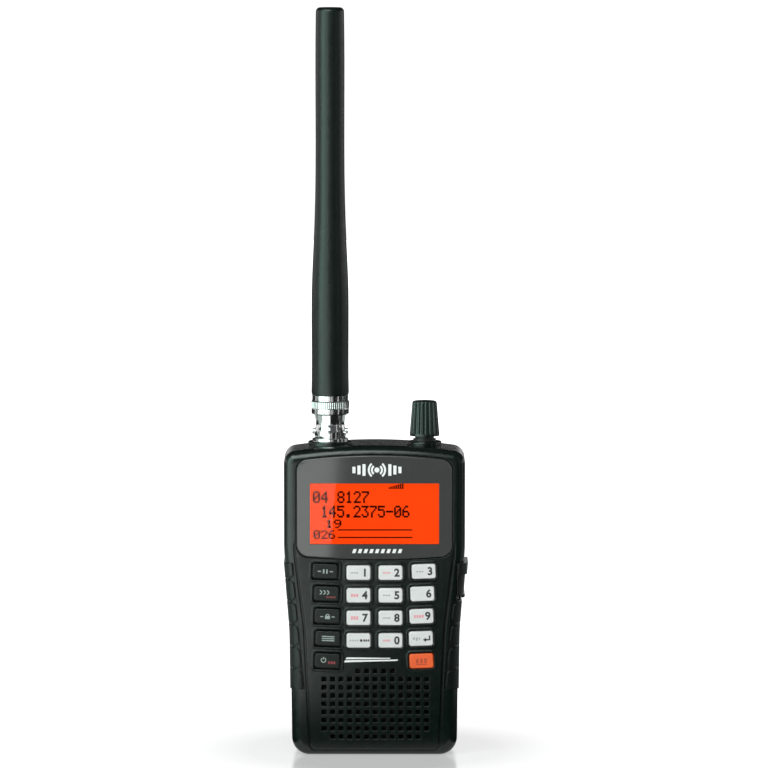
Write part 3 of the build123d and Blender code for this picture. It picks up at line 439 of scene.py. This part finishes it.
chevrons = []
for shift in (-1.9, -0.6, 0.7):
    chevrons.append(line((shift, 0.8), (shift + 0.8, 0.05), 0.38))
    chevrons.append(line((shift, -0.8), (shift + 0.8, -0.05), 0.38))
key_mark("scan", "icon", chevrons, "print_pale", -0.6, 0.5)
key_mark("scan", "second", row_of_bars(4, -0.4, 0.9, 0.7, 0.5), "print_red", 0.6, -1.2)

lock = [bar(0, -0.45, 1.8, 1.2)] + arc(0, 0.15, 0.6, 0, 180, 0.32, 8)
lock += [bar(side * 2.1, -0.2, 1.1, 0.35) for side in (-1, 1)]
key_mark("lockout", "icon", lock, "print_pale")
key_mark("menu", "icon", [bar(0, 0.75 * i, 4.6, 0.38) for i in (-1, 0, 1)], "print_pale")
power = arc(0, 0, 0.85, 120, 420, 0.34, 16) + [line((0, 0.25), (0, 1.15), 0.34)]
key_mark("power", "icon", power, "print_pale", -1.5, 0.3)
key_mark("power", "second", row_of_bars(3, 0, 1.0, 0.7, 1.0), "print_red", 0.5, -0.6)

# ---- bezel: generic signal mark above the window, slanted dashes below it
MARK_X = 0.9 * MM
SIGNAL_MARK_Z = 106.0 * MM
DASHES_Z = 76.0 * MM
bezel_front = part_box("display_bezel")[0].y
signal_mark = [disc(0, 0, 0.95)]
for radius in (1.85, 3.0):
    signal_mark += arc(0, 0, radius, -50, 50, 0.72)
    signal_mark += arc(0, 0, radius, 130, 230, 0.72)
for index, height in enumerate((4.3, 3.3, 2.4)):
    reach = 4.75 + 1.85 * index
    signal_mark += [bar(reach, 0, 1.15, height), bar(-reach, 0, 1.15, height)]
placed("signal_mark", slab(signal_mark, "signal_mark"), MARK_X, bezel_front, SIGNAL_MARK_Z, 0, "housing",
       PRINT["print_white"])
dashes = [bar(-8.3 + 2.1 * i, 0, 1.2, 1.5, 0.25) for i in range(9)]
placed("lower_dashes", slab(dashes, "lower_dashes"), MARK_X, bezel_front, DASHES_Z, 0, "housing",
       PRINT["print_white"])

# ---- key panel: tapering double stripe between the power and function keys
KEY_PROUD = 0.7 * MM    # how far the keys stand out of the panel
STRIPE_PLACE = (-0.8 * MM, 35.6 * MM)
panel_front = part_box("key_5")[0].y + KEY_PROUD
lower_stripe = [(-10.4, -0.9), (9.2, -0.35), (9.6, 0.15), (-10.0, -0.1)]
upper_stripe = [(-9.9, 0.25), (6.4, 0.45), (6.7, 0.75), (-9.4, 0.95)]
placed("panel_stripe", slab([lower_stripe, upper_stripe], "panel_stripe"), STRIPE_PLACE[0], panel_front,
       STRIPE_PLACE[1], 0, "housing", PRINT["print_white"])

# ---- screen: dot-matrix numbers, a signal wedge and rules
DOT_FONT = {
    "0": (14, 17, 19, 21, 25, 17, 14), "1": (4, 12, 4, 4, 4, 4, 14), "2": (14, 17, 1, 2, 4, 8, 31),
    "3": (31, 2, 4, 2, 1, 17, 14), "4": (2, 6, 10, 18, 31, 2, 2), "5": (31, 16, 30, 1, 1, 17, 14),
    "6": (6, 8, 16, 30, 17, 17, 14), "7": (31, 1, 2, 4, 8, 8, 8), "8": (14, 17, 17, 14, 17, 17, 14),
    "9": (14, 17, 17, 15, 1, 2, 12), ".": (0, 0, 0, 0, 0, 12, 12), "-": (0, 0, 0, 31, 0, 0, 0), " ": (0,) * 7,
}
DOT_COLUMNS = 5
DOT_OVERLAP = (1.4, 1.15)       # a dot's size over the pitch, so that strokes read as solid


def dot_text(text, left, top, pitch_x, pitch_z):
    """Dots of a line of numbers; left and top are the first dot's outer corner."""
    dots = []
    for place, character in enumerate(text):
        for row, bits in enumerate(DOT_FONT[character]):
            for column in range(DOT_COLUMNS):
                if bits >> (DOT_COLUMNS - 1 - column) & 1:
                    x = left + (place * (DOT_COLUMNS + 1) + column + 0.5) * pitch_x
                    z = top - (row + 0.5) * pitch_z
                    dots.append(bar(x, z, pitch_x * DOT_OVERLAP[0], pitch_z * DOT_OVERLAP[1]))
    return dots


lcd_low, lcd_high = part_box("lcd_panel")
lcd_front = lcd_low.y
screen_x = (lcd_low.x + lcd_high.x) / 2
screen_z = (lcd_low.z + lcd_high.z) / 2
readout = dot_text("04 8127", -22.6, 8.1, 0.50, 0.62)
readout += dot_text("145.2375-06", -19.7, 2.75, 0.50, 0.62)
readout += dot_text("19", -18.0, -2.4, 0.52, 0.44)
readout += dot_text("026", -22.4, -6.3, 0.46, 0.46)
readout += [bar(0.2, height, 27.5, 0.46) for height in (-6.2, -9.0)]
readout += [bar(5.6 + 0.8 * i, 9.3 + 0.12 * i, 0.56, 0.7 + 0.24 * i) for i in range(7)]
placed("screen_numbers", slab(readout, "screen_numbers"), screen_x, lcd_front, screen_z, 0, "housing",
       PRINT["lcd_ink"])


# -------------------------------------------------------- stage and lighting

FLOOR_FADE = (-0.02, 0.20)      # radii in metres; the floor's painted shade round the radio turns white over the middle two fifths
FLAG_GAP = 0.038                # the dark flags start this far from the axis
FLAG_REACH = 6.0                # and end here
FLAG_LEVEL = 0.0004             # height of the flags, just clear of the floor
CARD_LEVEL = 0.0008             # height of the cards, just clear of the flags
HANGING_LEVEL = 0.20            # height of the hanging cards' middles
FLAG_AREAS = (
    ((-FLAG_REACH, FLAG_REACH), (-FLAG_REACH, -FLAG_GAP)),
    ((-FLAG_REACH, FLAG_REACH), (FLAG_GAP, FLAG_REACH)),
    ((-FLAG_REACH, -FLAG_GAP), (-FLAG_GAP, FLAG_GAP)),
    ((FLAG_GAP, FLAG_REACH), (-FLAG_GAP, FLAG_GAP)),
)


def flat_square(name, size):
    """Large horizontal square, centred on the origin."""
    mesh = bpy.data.meshes.new(name)
    work = bmesh.new()
    bmesh.ops.create_grid(work, x_segments=8, y_segments=8, size=size)
    work.to_mesh(mesh)
    work.free()
    square = bpy.data.objects.new(name, mesh)
    SCENE.collection.objects.link(square)
    return square


def stage_floor():
    """Large pale sweep: light grey under the radio, where its glow is dimmed as painted shade and where real
    shadows show, and white further out.
    """
    floor = flat_square("floor", 40.0)
    material, nodes, links, shader = grow_material("floor_white")
    place = nodes.new("ShaderNodeTexCoord")
    length = nodes.new("ShaderNodeVectorMath")
    length.operation = "LENGTH"
    links.new(place.outputs["Object"], length.inputs[0])
    spread = remap(nodes, links, length.outputs["Value"], 0.0, 1.0, FLOOR_FADE[0], FLOOR_FADE[1])
    shade = two_tones(nodes, links, spread, (0.40, 0.40, 0.40), (0.04, 0.04, 0.04))
    links.new(shade, shader.inputs["Base Color"])
    # painted shade: the glow is dimmed to grey under the radio and rises to white further out
    glow = two_tones(nodes, links, spread, (0.36, 0.36, 0.36), (1, 1, 1))
    links.new(glow, shader.inputs["Emission Color"])
    shader.inputs["Emission Strength"].default_value = 1.0
    shader.inputs["Roughness"].default_value = 0.16
    shader.inputs["Specular IOR Level"].default_value = 0.4
    floor.data.materials.append(material)


def only_in_reflections(card, glow):
    """Give a card's front an even glow, which only reflections and rays through the lens meet."""
    material, nodes, links, shader = grow_material(card.name)
    shader.inputs["Base Color"].default_value = (0, 0, 0, 1)
    shader.inputs["Specular IOR Level"].default_value = 0.0
    shader.inputs["Roughness"].default_value = 1.0
    shader.inputs["Emission Color"].default_value = (*glow, 1)
    shader.inputs["Emission Strength"].default_value = 1.0
    side = nodes.new("ShaderNodeNewGeometry")
    clear = nodes.new("ShaderNodeBsdfTransparent")
    mix = nodes.new("ShaderNodeMixShader")
    links.new(side.outputs["Backfacing"], mix.inputs[0])
    links.new(shader.outputs["BSDF"], mix.inputs[1])
    links.new(clear.outputs["BSDF"], mix.inputs[2])
    links.new(mix.outputs["Shader"], nodes["Material Output"].inputs["Surface"])
    card.data.materials.append(material)
    card.visible_camera = False
    card.visible_diffuse = False
    card.visible_shadow = False


def reflector(name, x, y, height, glow):
    """Card just above the floor, between limits on x and y."""
    card = flat_square(name, 0.5)
    card.scale = (x[1] - x[0], y[1] - y[0], 1)
    card.location = ((x[0] + x[1]) / 2, (y[0] + y[1]) / 2, height)
    only_in_reflections(card, glow)


def hanging_card(name, place, aim, width, height, glow):
    """Card in the air that faces a point."""
    card = flat_square(name, 0.5)
    card.scale = (width, height, 1)
    card.location = place
    card.rotation_euler = (Vector(aim) - Vector(place)).to_track_quat("Z", "Y").to_euler()
    only_in_reflections(card, glow)


def horizon_wall(radius, height, start, end, glow, steps=24):
    """Upright curved card round the back of the set, which the floor mirrors; angles in degrees from +X."""
    mesh = bpy.data.meshes.new("horizon_wall")
    work = bmesh.new()
    turns = [math.radians(start + (end - start) * step / steps) for step in range(steps + 1)]
    low = [work.verts.new((radius * math.cos(turn), radius * math.sin(turn), 0)) for turn in turns]
    high = [work.verts.new((vertex.co.x, vertex.co.y, height)) for vertex in low]
    for i in range(steps):
        work.faces.new((low[i + 1], low[i], high[i], high[i + 1]))
    work.to_mesh(mesh)
    work.free()
    wall = bpy.data.objects.new("horizon_wall", mesh)
    SCENE.collection.objects.link(wall)
    only_in_reflections(wall, glow)


def soft_box(name, place, aim, size, power, colour=(1, 1, 1)):
    """Rectangular studio light that neither the camera nor a reflection shows."""
    lamp = bpy.data.lights.new(name, "AREA")
    lamp.shape = "RECTANGLE"
    lamp.size, lamp.size_y = size
    lamp.energy = power
    lamp.color = colour
    light = bpy.data.objects.new(name, lamp)
    SCENE.collection.objects.link(light)
    light.location = place
    light.rotation_euler = (Vector(aim) - Vector(place)).to_track_quat("-Z", "Y").to_euler()
    light.visible_camera = False
    light.visible_glossy = False


def add_studio():
    """World light, soft boxes, and the cards and dark flags that the glossy surfaces mirror."""
    world = bpy.data.worlds.new("studio")
    SCENE.world = world
    world.use_nodes = True
    world.node_tree.nodes["Background"].inputs["Color"].default_value = (0.9, 0.95, 1.0, 1)
    world.node_tree.nodes["Background"].inputs["Strength"].default_value = 0.10
    middle = (0, 0, 0.09)
    axis = (0, 0, HANGING_LEVEL)
    soft_box("key_light", (-0.80, -0.90, 0.45), middle, (0.7, 0.9), 8.0, (0.84, 1.0, 0.94))
    soft_box("fill_light", (0.80, -0.70, 0.30), middle, (0.4, 0.8), 2.0)
    soft_box("overhead", (-0.1, -0.45, 1.1), middle, (0.8, 0.6), 5.0)
    hanging_card("left_hanging", (-0.95, -0.66, HANGING_LEVEL), axis, 0.75, 1.6, (2.3, 3.5, 3.05))
    hanging_card("front_hanging", (-0.50, -1.08, HANGING_LEVEL), axis, 0.36, 1.6, (1.7, 2.2, 2.0))
    hanging_card("right_hanging", (0.80, -0.62, HANGING_LEVEL), axis, 0.10, 1.6, (0.9, 0.9, 0.9))
    hanging_card("back_flag", (0, 0.30, 0.32), (0, 0, 0.32), 0.5, 0.38, (0.02, 0.02, 0.02))
    hanging_card("far_left", (-1.2, 0.30, HANGING_LEVEL), axis, 0.20, 1.6, (0.8, 0.85, 0.82))
    hanging_card("sky", (-0.45, -0.85, 1.05), middle, 1.1, 0.8, (5.2, 5.8, 5.5))
    for index, (x, y) in enumerate(FLAG_AREAS):
        reflector(f"flag_{index}", x, y, FLAG_LEVEL, (0.012, 0.014, 0.013))
    reflector("left_card", (-1.4, -0.022), (-1.22, -0.15), CARD_LEVEL, (2.15, 2.3, 2.2))
    reflector("front_card_left", (-0.55, -0.09), (-1.80, -1.24), CARD_LEVEL, (1.0, 1.0, 1.0))
    reflector("front_card_right", (0.07, 0.40), (-1.80, -1.05), CARD_LEVEL, (0.8, 0.8, 0.8))
    reflector("back_card", (-0.45, 0.45), (0.18, 1.4), CARD_LEVEL, (0.55, 0.62, 0.59))
    reflector("left_side_card", (-1.4, -0.16), (-0.13, 0.16), CARD_LEVEL, (0.50, 0.60, 0.56))
    reflector("right_side_card", (0.16, 1.4), (-0.13, 0.16), CARD_LEVEL, (0.34, 0.38, 0.36))
    horizon_wall(3.0, 0.9, -10, 190, (1.0, 1.0, 1.0))


def add_camera():
    """Long lens, almost straight on, looking down a little."""
    target = Vector((3.5 * MM, -8 * MM, 137 * MM))
    distance = 2.2
    down = math.radians(5.0)
    data = bpy.data.cameras.new("camera")
    camera = bpy.data.objects.new("camera", data)
    SCENE.collection.objects.link(camera)
    camera.location = target + distance * Vector((0, -math.cos(down), math.sin(down)))
    camera.rotation_euler = (target - camera.location).to_track_quat("-Z", "Y").to_euler()
    view_width = 283 * MM
    data.sensor_width = 36
    data.lens = data.sensor_width * distance / view_width
    data.clip_end = 50
    SCENE.camera = camera


SCENE.view_settings.view_transform = "Standard"
stage_floor()
add_studio()
add_camera()
